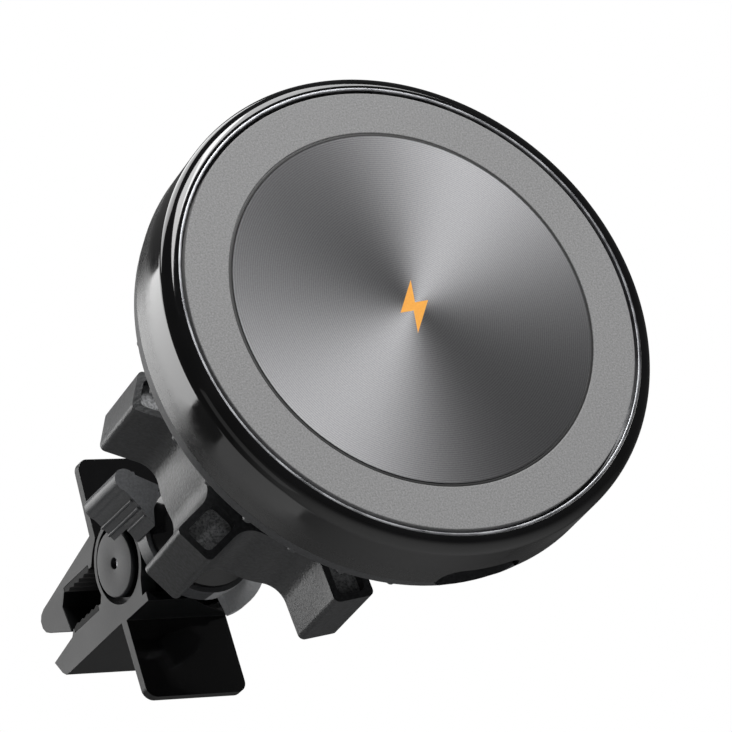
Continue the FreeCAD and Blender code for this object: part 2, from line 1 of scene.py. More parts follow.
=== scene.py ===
"""Car phone mount: the looks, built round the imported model.

Sizes are in millimetres and turn to metres where a mesh is made. The phone's side of the pad looks along -Y,
depth runs along +Y and the charging inlet is at the bottom, -Z. Pad pieces are drawn about the Y axis; the
pieces of the vent clip are drawn the same way and then lean with the clip on its ball.
"""
import logging
import math
from dataclasses import dataclass, field
from enum import Enum

import bmesh
import bpy
import numpy as np
from mathutils import Matrix, Vector


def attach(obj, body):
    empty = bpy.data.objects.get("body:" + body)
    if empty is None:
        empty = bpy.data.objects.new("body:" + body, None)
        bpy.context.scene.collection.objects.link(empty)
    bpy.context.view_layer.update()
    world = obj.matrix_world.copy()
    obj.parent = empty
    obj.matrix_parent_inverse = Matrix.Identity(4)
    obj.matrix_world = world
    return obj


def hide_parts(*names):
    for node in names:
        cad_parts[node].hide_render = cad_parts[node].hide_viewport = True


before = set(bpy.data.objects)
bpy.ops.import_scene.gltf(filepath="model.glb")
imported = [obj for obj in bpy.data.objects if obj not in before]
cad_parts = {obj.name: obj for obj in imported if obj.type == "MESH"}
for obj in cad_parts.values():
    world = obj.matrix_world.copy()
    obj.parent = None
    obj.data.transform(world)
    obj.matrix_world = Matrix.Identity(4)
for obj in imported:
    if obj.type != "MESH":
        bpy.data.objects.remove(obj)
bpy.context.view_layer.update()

MM = 0.001
SMOOTH_UP_TO = 35.0  # edges that turn by more degrees than this stay sharp
WELD = 2e-6  # points closer than this, in metres, are one
FLAT = math.radians(0.6)  # faces that lie this close to one plane are one
LOG = logging.getLogger("phone_mount")
logging.basicConfig(level=logging.INFO, format="%(message)s")


# ------------------------------------------------------------------------------------------- surfaces
@dataclass
class Surface:
    """Points in millimetres and the faces between them."""

    points: np.ndarray
    faces: list

    def joined(self, *others: "Surface") -> "Surface":
        """This surface and others as one.

        Args:
            others: surfaces whose faces are counted on after this one's.
        Returns:
            One surface holding every point and face.
        """
        points, faces = [self.points], list(self.faces)
        count = len(self.points)
        for other in others:
            points.append(other.points)
            faces += [[count + index for index in face] for face in other.faces]
            count += len(other.points)
        return Surface(np.concatenate(points), faces)

    def moved(self, shift: tuple[float, float, float]) -> "Surface":
        """The surface moved by a shift in millimetres."""
        return Surface(self.points + np.array(shift), self.faces)

    def piece(self, name: str) -> bpy.types.Object:
        """Makes the object: metres, doubled points merged, faces outward and smooth.

        Args:
            name: the piece's name.
        Returns:
            The object, at the origin.
        """
        mesh = bpy.data.meshes.new(name)
        mesh.from_pydata((self.points * MM).tolist(), [], self.faces)
        shape = bmesh.new()
        shape.from_mesh(mesh)
        bmesh.ops.remove_doubles(shape, verts=shape.verts, dist=1e-7)
        bmesh.ops.recalc_face_normals(shape, faces=shape.faces)
        shape.to_mesh(mesh)
        shape.free()
        return shown(name, mesh, SMOOTH_UP_TO)


def shown(name: str, mesh: bpy.types.Mesh, edge_angle: float) -> bpy.types.Object:
    """Puts a mesh in the scene with smooth shading.

    Args:
        name: the object's name.
        mesh: its mesh, in metres.
        edge_angle: the angle in degrees past which an edge stays sharp.
    Returns:
        The linked object.
    """
    mesh.shade_smooth()
    mesh.set_sharp_from_angle(angle=math.radians(edge_angle))
    piece = bpy.data.objects.new(name, mesh)
    bpy.context.scene.collection.objects.link(piece)
    return piece


def unit(vectors: np.ndarray) -> np.ndarray:
    """Each row divided by its own length."""
    return vectors / np.linalg.norm(vectors, axis=-1, keepdims=True)


def rounded(corners: list[tuple[float, float, float]], steps: int = 6) -> np.ndarray:
    """A closed outline whose corners are rounded.

    At a corner with half angle h between its two edges, an arc of radius r starts r / tan(h) along each edge
    and its centre lies r / sin(h) along the line that halves the corner. Points on the arc are the weighted
    turn between its two ends, sin((1 - t) w) of the first and sin(t w) of the last, over sin(w).

    Args:
        corners: (x, y, radius) of each corner, in order.
        steps: how many chords an arc has.
    Returns:
        The outline's points, one row each.
    """
    table = np.array(corners, float)
    place, radius = table[:, :2], table[:, 2:]
    back, ahead = unit(np.roll(place, 1, 0) - place), unit(np.roll(place, -1, 0) - place)
    half = 0.5 * np.arccos(np.clip((back * ahead).sum(1, keepdims=True), -1, 1))
    centre = place + unit(back + ahead) * radius / np.sin(half)
    reach = radius / np.tan(half)
    start, end = place + back * reach - centre, place + ahead * reach - centre
    turn = math.pi - 2 * half
    part = np.linspace(0, 1, steps + 1)[None, :, None]
    first, last = np.sin((1 - part) * turn[:, None]), np.sin(part * turn[:, None])
    arcs = (first * start[:, None] + last * end[:, None]) / np.sin(turn)[:, None] + centre[:, None]
    return arcs.reshape(-1, 2)


def grid_faces(rows: int, columns: int) -> list[list[int]]:
    """Four-cornered faces over a grid that closes on itself both ways.

    Args:
        rows: how many profiles stand side by side.
        columns: how many points a profile has.
    Returns:
        The faces as lists of point numbers.
    """
    row, column = np.meshgrid(np.arange(rows), np.arange(columns), indexing="ij")
    after_row, after_column = (row + 1) % rows, (column + 1) % columns
    corners = [row * columns + column, after_row * columns + column,
               after_row * columns + after_column, row * columns + after_column]
    return np.stack(corners, axis=-1).reshape(-1, 4).tolist()


def turned(profile: np.ndarray, steps: int = 256) -> Surface:
    """A closed profile turned about the depth axis.

    The point at radius r and depth d goes, at angle a, to (r cos a, d, r sin a).

    Args:
        profile: rows of (radius, depth).
        steps: how many profiles go round.
    Returns:
        The turned surface.
    """
    angle = np.linspace(0, 2 * math.pi, steps, endpoint=False)[:, None]
    radius, depth = profile[:, 0][None], profile[:, 1][None]
    points = np.stack([np.cos(angle) * radius, depth + 0 * angle, np.sin(angle) * radius], axis=-1)
    return Surface(points.reshape(-1, 3), grid_faces(steps, len(profile)))


class Body(Enum):
    """The moving bodies that new pieces ride on."""

    PAD = "pad"
    COLLAR = "collar"
    CLIP = "clip"
    LOCK_RING = "lock_ring"
    UPPER_LEVER = "upper_lever"
    LOWER_LEVER = "lower_lever"


def carried(outline: np.ndarray, low: float, high: float) -> Surface:
    """An outline carried straight up between two heights.

    Args:
        outline: rows of (x, depth).
        low: the height it starts at.
        high: the height it ends at.
    Returns:
        The closed surface.
    """
    count = len(outline)
    points = np.concatenate([np.column_stack([outline, np.full(count, level)]) for level in (low, high)])
    sides = np.array(grid_faces(2, count)[:count]).tolist()
    return Surface(points, sides + [list(range(count)), list(range(count, 2 * count))])


@dataclass(frozen=True)
class Lean:
    """How the clip leans on its ball, in degrees, and how deep the ball's centre lies."""

    roll: float = 5.4
    yaw: float = 7.0
    ball_depth: float = 44.0

    def turn(self) -> np.ndarray:
        """The turning matrix, by Rodrigues' formula: I + sin(a) K + (1 - cos(a)) K K for a unit axis K."""
        vector = np.radians([0.0, self.roll, self.yaw])
        angle = float(np.linalg.norm(vector))
        x, y, z = vector / angle
        cross = np.array([[0, -z, y], [z, 0, -x], [-y, x, 0]])
        return np.eye(3) + math.sin(angle) * cross + (1 - math.cos(angle)) * cross @ cross

    def leant(self, surface: Surface) -> Surface:
        """A surface drawn upright, leant about the ball's centre."""
        ball = np.array([0.0, self.ball_depth, 0.0])
        return Surface((surface.points - ball) @ self.turn().T + ball, surface.faces)

    def upright(self, points: np.ndarray) -> np.ndarray:
        """Points of the leaning clip, back in the upright frame it is drawn in."""
        ball = np.array([0.0, self.ball_depth, 0.0])
        return (points - ball) @ self.turn() + ball


def cut(piece: bpy.types.Object, tool: Surface) -> bpy.types.Object:
    """Cuts a shape out of a piece for good.

    Args:
        piece: the object to cut.
        tool: the closed shape that is taken away.
    Returns:
        The same object with its new mesh.
    """
    cutter = tool.piece("cutter")
    change = piece.modifiers.new("opening", "BOOLEAN")
    change.operation, change.solver, change.object = "DIFFERENCE", "EXACT", cutter
    bpy.context.view_layer.update()
    result = bpy.data.meshes.new_from_object(piece.evaluated_get(bpy.context.evaluated_depsgraph_get()))
    piece.modifiers.clear()
    piece.data = result
    piece.data.name = piece.name
    bpy.data.objects.remove(cutter)
    piece.data.shade_smooth()
    piece.data.set_sharp_from_angle(angle=math.radians(SMOOTH_UP_TO))
    return piece


def edged(piece: bpy.types.Object, width: float, angle: float = 25.0, chords: int = 3) -> bpy.types.Object:
    """Rounds a piece's sharp edges with a Bevel modifier.

    Args:
        piece: the object.
        width: the rounding in millimetres.
        angle: edges sharper than this many degrees are rounded.
        chords: how many faces a rounding has.
    Returns:
        The same object.
    """
    bevel = piece.modifiers.new("edge_rounding", "BEVEL")
    bevel.width, bevel.segments = width * MM, chords
    bevel.limit_method, bevel.angle_limit = "ANGLE", math.radians(angle)
    bevel.use_clamp_overlap, bevel.harden_normals = True, True
    return piece


def even(piece: bpy.types.Object) -> bpy.types.Object:
    """Lets a piece's large faces set the shading at their corners, so flats look flat."""
    weights = piece.modifiers.new("flat_shading", "WEIGHTED_NORMAL")
    weights.keep_sharp = True
    return piece


def moulded_copy(node: str, name: str, width: float, angle: float = 25.0) -> bpy.types.Object:
    """A piece with a node's shape and moulded edges.

    The node's loose triangles are merged, flat regions become single faces, and the edges are rounded.

    Args:
        node: the CAD node.
        name: the new piece's name.
        width: the edge rounding in millimetres.
        angle: edges sharper than this many degrees are rounded.
    Returns:
        The new object.
    """
    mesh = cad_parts[node].data.copy()
    mesh.name = name
    mesh.materials.clear()
    shape = bmesh.new()
    shape.from_mesh(mesh)
    bmesh.ops.remove_doubles(shape, verts=shape.verts, dist=WELD)
    bmesh.ops.dissolve_limit(shape, angle_limit=FLAT, verts=shape.verts, edges=shape.edges)
    shape.to_mesh(mesh)
    shape.free()
    if "custom_normal" in mesh.attributes:
        mesh.attributes.remove(mesh.attributes["custom_normal"])
    piece = shown(name, mesh, 180)
    return edged(piece, width, angle)


def face_places(mesh: bpy.types.Mesh) -> tuple[np.ndarray, np.ndarray]:
    """Where a mesh's faces are and which way they look.

    Args:
        mesh: the mesh, in metres.
    Returns:
        The middle of each face in millimetres and its normal, one row each.
    """
    centres, normals = np.zeros(len(mesh.polygons) * 3), np.zeros(len(mesh.polygons) * 3)
    mesh.polygons.foreach_get("center", centres)
    mesh.polygons.foreach_get("normal", normals)
    return centres.reshape(-1, 3) / MM, normals.reshape(-1, 3)


# ------------------------------------------------------------------------------------------- finishes
def linear(colour: str) -> tuple[float, float, float, float]:
    """An sRGB colour written #rrggbb as linear red, green, blue and full alpha."""
    parts = np.array([int(colour[i:i + 2], 16) for i in (1, 3, 5)]) / 255
    values = np.where(parts <= 0.04045, parts / 12.92, ((parts + 0.055) / 1.055) ** 2.4)
    return (*values.tolist(), 1.0)


def add(tree: bpy.types.NodeTree, kind: str, settings: dict | None = None, **inputs) -> bpy.types.Node:
    """Adds a node.

    Args:
        tree: the node tree.
        kind: the node's class name without its ShaderNode prefix.
        settings: the node's own properties by name.
        inputs: its sockets by name, underscores for spaces; a socket is linked and a value is set.
    Returns:
        The node.
    """
    node = tree.nodes.new("ShaderNode" + kind)
    for key, setting in (settings or {}).items():
        setattr(node, key, setting)
    for key, given in inputs.items():
        number = key.lstrip("i")
        socket = node.inputs[int(number)] if number.isdigit() else node.inputs[key.replace("_", " ")]
        if isinstance(given, bpy.types.NodeSocket):
            tree.links.new(given, socket)
        else:
            socket.default_value = given
    return node


@dataclass(frozen=True)
class Finish:
    """A finish: what the piece is made of and how its surface was made."""

    name: str
    colour: str
    roughness: float
    ior: float = 1.5

    def dressed(self, tree: bpy.types.NodeTree, place: bpy.types.NodeSocket) -> dict:
        """The shader's sockets. Each kind of finish adds its own.

        Args:
            tree: the material's node tree.
            place: where the surface point lies, from the object.
        Returns:
            The shader's sockets by name.
        """
        return {"Base_Color": linear(self.colour), "Roughness": self.roughness, "IOR": self.ior}

    def material(self) -> bpy.types.Material:
        """The finished material, made once."""
        known = bpy.data.materials.get(self.name)
        if known:
            return known
        material = bpy.data.materials.new(self.name)
        material.use_nodes = True
        tree = material.node_tree
        tree.nodes.clear()
        place = add(tree, "TexCoord").outputs["Object"]
        shader = add(tree, "BsdfPrincipled", **self.dressed(tree, place))
        add(tree, "OutputMaterial", Surface=shader.outputs["BSDF"])
        return material


def shades(tree: bpy.types.NodeTree, factor: bpy.types.NodeSocket, low: str,
           high: str) -> bpy.types.NodeSocket:
    """A colour that runs from low to high with a factor."""
    mix = add(tree, "Mix", {"data_type": "RGBA"}, Factor=factor)
    mix.inputs[6].default_value, mix.inputs[7].default_value = linear(low), linear(high)
    return mix.outputs[2]


def spread(tree: bpy.types.NodeTree, factor: bpy.types.NodeSocket, low: float, high: float,
           start: float = 0.35, end: float = 0.65) -> bpy.types.NodeSocket:
    """A number that runs from low to high as a factor runs from start to end."""
    limits = {"From_Min": start, "From_Max": end, "To_Min": low, "To_Max": high}
    return add(tree, "MapRange", Value=factor, **limits).outputs[0]


@dataclass(frozen=True)
class Moulded(Finish):
    """An injection-moulded plastic. The tool's spark or sand texture leaves fine pits that break up the
    shine, and handling leaves faint wider smears.
    """

    deep: str = "#101010"
    grain: float = 0.25
    pits: float = 0.01
    smear: float = 0.06

    def dressed(self, tree: bpy.types.NodeTree, place: bpy.types.NodeSocket) -> dict:
        """Grain at its real size in millimetres for colour and height, wide smears for roughness."""
        grain = add(tree, "TexNoise", Vector=place, Scale=1 / (self.grain * MM), Detail=3.0, Roughness=0.6)
        smear = add(tree, "TexNoise", Vector=place, Scale=1 / (9 * MM), Detail=2.0)
        bump = add(tree, "Bump", Height=grain.outputs["Fac"], Distance=self.pits * MM, Strength=1.0)
        half = self.smear / 2
        rough = spread(tree, smear.outputs["Fac"], self.roughness - half, self.roughness + half)
        return {"Base_Color": shades(tree, spread(tree, grain.outputs["Fac"], 0, 1), self.deep, self.colour),
                "Roughness": rough, "IOR": self.ior, "Normal": bump.outputs["Normal"]}


@dataclass(frozen=True)
class Polished(Finish):
    """A high-gloss moulded plastic from a polished tool: nearly a mirror at a low angle, with the faint
    waviness and hairline scuffs of a handled part.
    """

    wave: float = 0.004
    satin: float = 0.0
    satin_from: float = 6.4
    satin_over: float = 3.0

    def dressed(self, tree: bpy.types.NodeTree, place: bpy.types.NodeSocket) -> dict:
        """Slow waves for height; scuffs only change the roughness, which also grows with depth where the
        side of the piece was left satin.
        """
        wave = add(tree, "TexNoise", Vector=place, Scale=1 / (7 * MM), Detail=1.0)
        scuff = add(tree, "TexNoise", Vector=place, Scale=1 / (1.2 * MM), Detail=4.0, Roughness=0.7)
        bump = add(tree, "Bump", Height=wave.outputs["Fac"], Distance=self.wave * MM, Strength=1.0)
        tone = spread(tree, wave.outputs["Fac"], 0, 1)
        rough = spread(tree, scuff.outputs["Fac"], self.roughness * 0.8, self.roughness * 1.5)
        if self.satin:
            depth = add(tree, "SeparateXYZ", Vector=place).outputs["Y"]
            start = self.satin_from - self.satin_over
            side = spread(tree, depth, 0.0, self.satin, start * MM, self.satin_from * MM)
            rough = add(tree, "Math", {"operation": "ADD"}, i0=rough, i1=side).outputs[0]
        return {"Base_Color": shades(tree, tone, self.colour, "#0b0b0c"), "Roughness": rough,
                "IOR": self.ior, "Normal": bump.outputs["Normal"]}


@dataclass(frozen=True)
class SoftTouch(Finish):
    """A soft-touch elastomer film: dull, with a fine speckle of raised grains that catch the light."""

    dark: str = "#3a3a3b"
    grain: float = 0.22

    def dressed(self, tree: bpy.types.NodeTree, place: bpy.types.NodeSocket) -> dict:
        """Speckle of the grain's size for colour and height."""
        speckle = add(tree, "TexNoise", Vector=place, Scale=1 / (self.grain * MM), Detail=4.0, Roughness=0.75)
        bump = add(tree, "Bump", Height=speckle.outputs["Fac"], Distance=0.02 * MM, Strength=1.0)
        tone = spread(tree, speckle.outputs["Fac"], 0, 1, 0.3, 0.7)
        return {"Base_Color": shades(tree, tone, self.dark, self.colour), "Roughness": self.roughness,
                "IOR": self.ior, "Normal": bump.outputs["Normal"], "Sheen_Weight": 0.15,
                "Sheen_Roughness": 0.5}


@dataclass(frozen=True)
class Spun(Finish):
    """A spun metal film: fine concentric lines draw each light out into a bow tie through the centre. The
    lines are drawn at the pitch given, coarser than the real ones, so that they show.
    """

    dark: str = "#2e2e30"
    pitch: float = 0.36
    stretch: float = 0.8

    def dressed(self, tree: bpy.types.NodeTree, place: bpy.types.NodeSocket) -> dict:
        """Rings by distance from the centre for colour and height, a tangent that runs round the centre."""
        rings = add(tree, "TexWave", {"wave_type": "RINGS", "rings_direction": "SPHERICAL"}, Vector=place,
                    Scale=2 * math.pi / (20 * self.pitch * MM), Distortion=0.0)
        speckle = add(tree, "TexNoise", Vector=place, Scale=1 / (0.2 * MM), Detail=3.0)
        tone = add(tree, "Math", {"operation": "MULTIPLY_ADD"}, i0=rings.outputs["Fac"], i1=0.5,
                   i2=speckle.outputs["Fac"])
        bump = add(tree, "Bump", Height=rings.outputs["Fac"], Distance=0.003 * MM, Strength=1.0)
        tangent = add(tree, "Tangent", {"direction_type": "RADIAL", "axis": "Y"})
        shade = spread(tree, tone.outputs[0], 0, 1, 0.3, 1.2)
        return {"Base_Color": shades(tree, shade, self.dark, self.colour),
                "Metallic": 1.0, "Roughness": self.roughness, "Anisotropic": self.stretch,
                "Normal": bump.outputs["Normal"], "Tangent": tangent.outputs[0]}


@dataclass(frozen=True)
class Metal(Finish):
    """A bare or plated metal with the marks of how it was made: fine lines or a slight cloudiness."""

    dark: str = "#6d6d6f"
    grain: float = 0.15

    def dressed(self, tree: bpy.types.NodeTree, place: bpy.types.NodeSocket) -> dict:
        """Clouds of the grain's size for colour and roughness."""
        cloud = add(tree, "TexNoise", Vector=place, Scale=1 / (self.grain * MM), Detail=4.0)
        tone = spread(tree, cloud.outputs["Fac"], 0, 1)
        return {"Base_Color": shades(tree, tone, self.dark, self.colour), "Metallic": 1.0,
                "Roughness": spread(tree, cloud.outputs["Fac"], self.roughness * 0.8, self.roughness * 1.3)}


@dataclass(frozen=True)
class Wound(Finish):
    """Enamelled copper wire laid in a flat spiral: ring after ring of round wire under clear lacquer."""

    dark: str = "#5a2a12"
    pitch: float = 0.55

    def dressed(self, tree: bpy.types.NodeTree, place: bpy.types.NodeSocket) -> dict:
        """Rings at the wire's pitch for colour and height."""
        rings = add(tree, "TexWave", {"wave_type": "RINGS", "rings_direction": "SPHERICAL"}, Vector=place,
                    Scale=2 * math.pi / (20 * self.pitch * MM), Distortion=0.0)
        bump = add(tree, "Bump", Height=rings.outputs["Fac"], Distance=0.1 * MM, Strength=1.0)
        return {"Base_Color": shades(tree, rings.outputs["Fac"], self.dark, self.colour), "Metallic": 1.0,
                "Roughness": self.roughness, "Normal": bump.outputs["Normal"], "Coat_Weight": 0.4}


BEZEL_GLOSS = Polished("gloss_polycarbonate", "#050506", 0.06, 1.58, satin=0.2)
TRIM_BRIGHT = Metal("diamond_turned_aluminium", "#a4a5a8", 0.34, dark="#929396", grain=3.0)
FACE_SOFT = SoftTouch("soft_touch_elastomer", "#9c9c9c", 0.62, 1.45, dark="#6a6a6b")
ACCENT_BLACK = Moulded("black_abs_inlay", "#0b0b0b", 0.45, 1.53)
FACE_SPUN = Spun("spun_film", "#868687", 0.46, dark="#6a6a6c", pitch=0.27, stretch=0.74)
MARK_ORANGE = Moulded("orange_pad_print", "#f8ad3c", 0.5, 1.5, deep="#f0a233", grain=0.3, pits=0.003)
COIL_COPPER = Wound("enamelled_copper_wire", "#c9743c", 0.3)
FERRITE = Moulded("sintered_ferrite", "#3a3734", 0.7, 1.6, deep="#24211f", grain=0.4)
MAGNETS = Metal("nickel_plated_magnet", "#c2c0bb", 0.25)
SHUNT_STEEL = Metal("cold_rolled_steel", "#8f9194", 0.35)
BOARD = Moulded("solder_mask_laminate", "#14502e", 0.35, 1.5, deep="#0d3a20", grain=1.2, pits=0.03)
SOCKET_STEEL = Metal("nickel_plated_shell", "#b9b9ba", 0.28)
COVER_SATIN = Moulded("satin_abs_cover", "#3f4042", 0.5, 1.53, deep="#303133", grain=0.3, pits=0.006)
SCREWS = Metal("black_zinc_screw", "#3b3c3e", 0.35, dark="#222324")
JOINT_NYLON = Moulded("glass_filled_nylon", "#2d2e30", 0.5, 1.53, deep="#1c1d1e", grain=0.3, pits=0.015)
LINER_ACETAL = Moulded("acetal_liner", "#e4e2dc", 0.4, 1.48, deep="#d6d3cb")
COLLAR_MATTE = Moulded("spark_textured_nylon", "#303133", 0.42, 1.53, deep="#1b1c1d", grain=0.45, pits=0.06)
# Lobe floors: coarse blasted grain, and a pale base colour that is painted light in the pad's shadow.
COLLAR_POCKET_PAINTED_LIGHT = Moulded("blasted_pocket_painted_light", "#a2a3a5", 0.5, 1.53, deep="#5a5b5c", grain=0.28, pits=0.05)
STUD_PLASTIC = Moulded("acetal_ball", "#1b1b1c", 0.3, 1.48, pits=0.004)
NECK_GLOSS = Polished("gloss_abs_neck", "#0e0e0f", 0.14, 1.53)
RING_SATIN = Moulded("satin_abs_ring", "#4b4c4e", 0.34, 1.53, deep="#3a3b3d", grain=0.3, pits=0.006)
LEVER_SATIN = Moulded("satin_abs_lever", "#131415", 0.36, 1.36, deep="#0c0d0e", grain=0.3, pits=0.005)
# Thumb plate: its pale colour is a painted reflection of the bright room around it.
PLATE_PAINTED_REFLECTION = Moulded("thumb_plate_painted_reflection", "#a6a7a9", 0.3, 1.53, deep="#98999b", grain=0.3, pits=0.004)
WING_GLOSS = Polished("gloss_abs_wing", "#0a0a0b", 0.1, 1.53)
JAW_RUBBER = Moulded("jaw_rubber", "#1d1d1e", 0.7, 1.5, deep="#111112", grain=0.3, pits=0.02)
PIN_STEEL = Metal("ground_steel_pin", "#a9abae", 0.22)
CAP_SATIN = Moulded("satin_abs_cap", "#252628", 0.42, 1.4, deep="#1d1e20", grain=0.3, pits=0.005)
SPRING_WIRE = Metal("music_wire", "#8b8d90", 0.3)


def own(piece: bpy.types.Object, finish: Finish, body: Body, slot: str, *nodes: str) -> bpy.types.Object:
    """Dresses a new piece, puts it on its body and hides the CAD nodes it stands for.

    Args:
        piece: the new object.
        finish: its finish.
        body: the body that it rides on.
        slot: the record's material slot; not used.
        nodes: the CAD nodes it stands for.
    Returns:
        The same object.
    """
    if not piece.data.materials:
        piece.data.materials.append(finish.material())
    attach(piece, body.value)
    if nodes:
        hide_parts(*nodes)
    LOG.info("%-16s %7d faces  %s", piece.name, len(piece.data.polygons), finish.name)
    return piece


def keep(node: str, finish: Finish) -> None:
    """Gives a CAD node that keeps its own shape its finish."""
    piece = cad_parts[node]
    for place in piece.material_slots:
        place.material = finish.material()
    if not piece.material_slots:
        piece.data.materials.append(finish.material())
    LOG.info("%-16s kept           %s", node, finish.name)


# ------------------------------------------------------------------------------------------- the pad
@dataclass
class PadFace:
    """The phone's side of the pad: gloss bezel, bright trim, soft ring, thin accent and spun disc."""

    bezel: float = 31.15
    bezel_round: float = 1.6
    wall: float = 29.3
    back: float = 9.1
    ledge: float = 20.0
    ledge_back: float = 2.4
    plate: float = 1.0
    trim: tuple[float, float] = (29.0, 29.35)
    soft: tuple[float, float] = (23.15, 28.6)
    accent: tuple[float, float] = (22.75, 23.15)
    accent_sink: float = 0.1
    port: tuple[float, float, float, float] = (11.0, 6.1, 11.0, 2.45)
    port_reach: tuple[float, float] = (-34.0, -27.75)
    post_circle: float = 21.5
    post: float = 1.3
    post_back: float = 9.9

    def port_tool(self) -> Surface:
        """The round-ended shape of the charging inlet, carried in from below the rim."""
        width, front, back, corner = self.port
        corner -= 0.001
        box = [(-width / 2, front, corner), (width / 2, front, corner),
               (width / 2, back, corner), (-width / 2, back, corner)]
        return carried(rounded(box, 14), *self.port_reach)

    def ring(self, inner: float, outer: float, front: float, edge: float) -> Surface:
        """A flat ring of the face with softened front edges."""
        corners = [(inner, front, edge), (outer, front, edge), (outer, self.plate, 0), (inner, self.plate, 0)]
        return turned(rounded(corners, 5), 320)

    def build(self) -> None:
        """Makes and dresses the pieces of the face."""
        profile = rounded([(self.ledge, self.plate, 0), (self.trim[1], self.plate, 0),
                           (self.trim[1], 0, 0.06), (self.bezel, 0, self.bezel_round),
                           (self.bezel, self.back, 0.25), (self.wall, self.back, 0),
                           (self.wall, self.ledge_back, 0), (self.ledge, self.ledge_back, 0)], 16)
        post = rounded([(0, self.plate + 0.2, 0), (self.post, self.plate + 0.2, 0),
                        (self.post, self.post_back, 0.2), (0, self.post_back, 0)], 4)
        angles = np.radians([45, 135, 225, 315])
        posts = [turned(post, 32).moved((self.post_circle * math.cos(a), 0, self.post_circle * math.sin(a)))
                 for a in angles]
        shell = turned(profile, 320).joined(*posts).piece("bezel")
        own(even(cut(shell, self.port_tool())), BEZEL_GLOSS, Body.PAD, "bezel_gloss", "front_bezel")
        own(even(self.ring(*self.trim, 0.0, 0.08).piece("trim")), TRIM_BRIGHT, Body.PAD, "trim_bright",
            "trim_ring")
        own(even(self.ring(*self.soft, 0.0, 0.16).piece("soft_ring")), FACE_SOFT, Body.PAD, "face_soft",
            "face_ring")
        own(even(self.ring(*self.accent, self.accent_sink, 0.05).piece("accent")), ACCENT_BLACK,
            Body.PAD, "accent_black", "accent_ring")
        keep("face_disc", FACE_SPUN)
        keep("charge_mark", MARK_ORANGE)


@dataclass
class PadInside:
    """What the pad holds: the coil and its shield, the magnets and their plate, the board and the inlet."""

    finishes: dict = field(default_factory=lambda: {
        "charging_coil": COIL_COPPER, "ferrite_sheet": FERRITE, "magnet_ring": MAGNETS,
        "shunt_plate": SHUNT_STEEL, "circuit_board": BOARD, "usb_c_socket": SOCKET_STEEL,
        "cover_screws": SCREWS})

    def build(self) -> None:
        """Dresses the hidden pieces, whose shapes stay."""
        for node, finish in self.finishes.items():
            keep(node, finish)


@dataclass
class PadBack:
    """The back cover with its ring of small nubs, and the socket stem that stands on it."""

    cover_edge: float = 0.28
    stem_edge: float = 0.25

    def build(self) -> None:
        """Makes and dresses the cover and the stem."""
        own(moulded_copy("back_cover", "cover", self.cover_edge), COVER_SATIN, Body.PAD, "cover_satin",
            "back_cover")
        own(moulded_copy("ball_socket", "stem", self.stem_edge), JOINT_NYLON, Body.PAD, "joint_nylon",
            "ball_socket")


# ------------------------------------------------------------------------------------------- the joint
@dataclass
class BallJoint:
    """The collar nut, the two liners and the ball on its shank."""

    nut_edge: float = 0.5
    pocket_floor: float = 37.9

    def collar(self) -> bpy.types.Object:
        """The collar nut; its lobe floors get a coarser grain and a paler colour that is painted light."""
        piece = moulded_copy("collar_nut", "collar", self.nut_edge)
        piece.data.materials.append(COLLAR_MATTE.material())
        piece.data.materials.append(COLLAR_POCKET_PAINTED_LIGHT.material())
        centres, normals = face_places(piece.data)
        # the lobe floors, painted paler: painted light where the pad shades them
        floor = (np.abs(centres[:, 1] - self.pocket_floor) < 0.05) & (normals[:, 1] < -0.9)
        piece.data.polygons.foreach_set("material_index", floor.astype(np.int32))
        return piece

    def build(self) -> None:
        """Makes and dresses the collar, and dresses the liners and the ball."""
        own(self.collar(), COLLAR_MATTE, Body.COLLAR, "collar_matte", "collar_nut")
        keep("liner_front", LINER_ACETAL)
        keep("liner_rear", LINER_ACETAL)
        keep("ball_stud", STUD_PLASTIC)


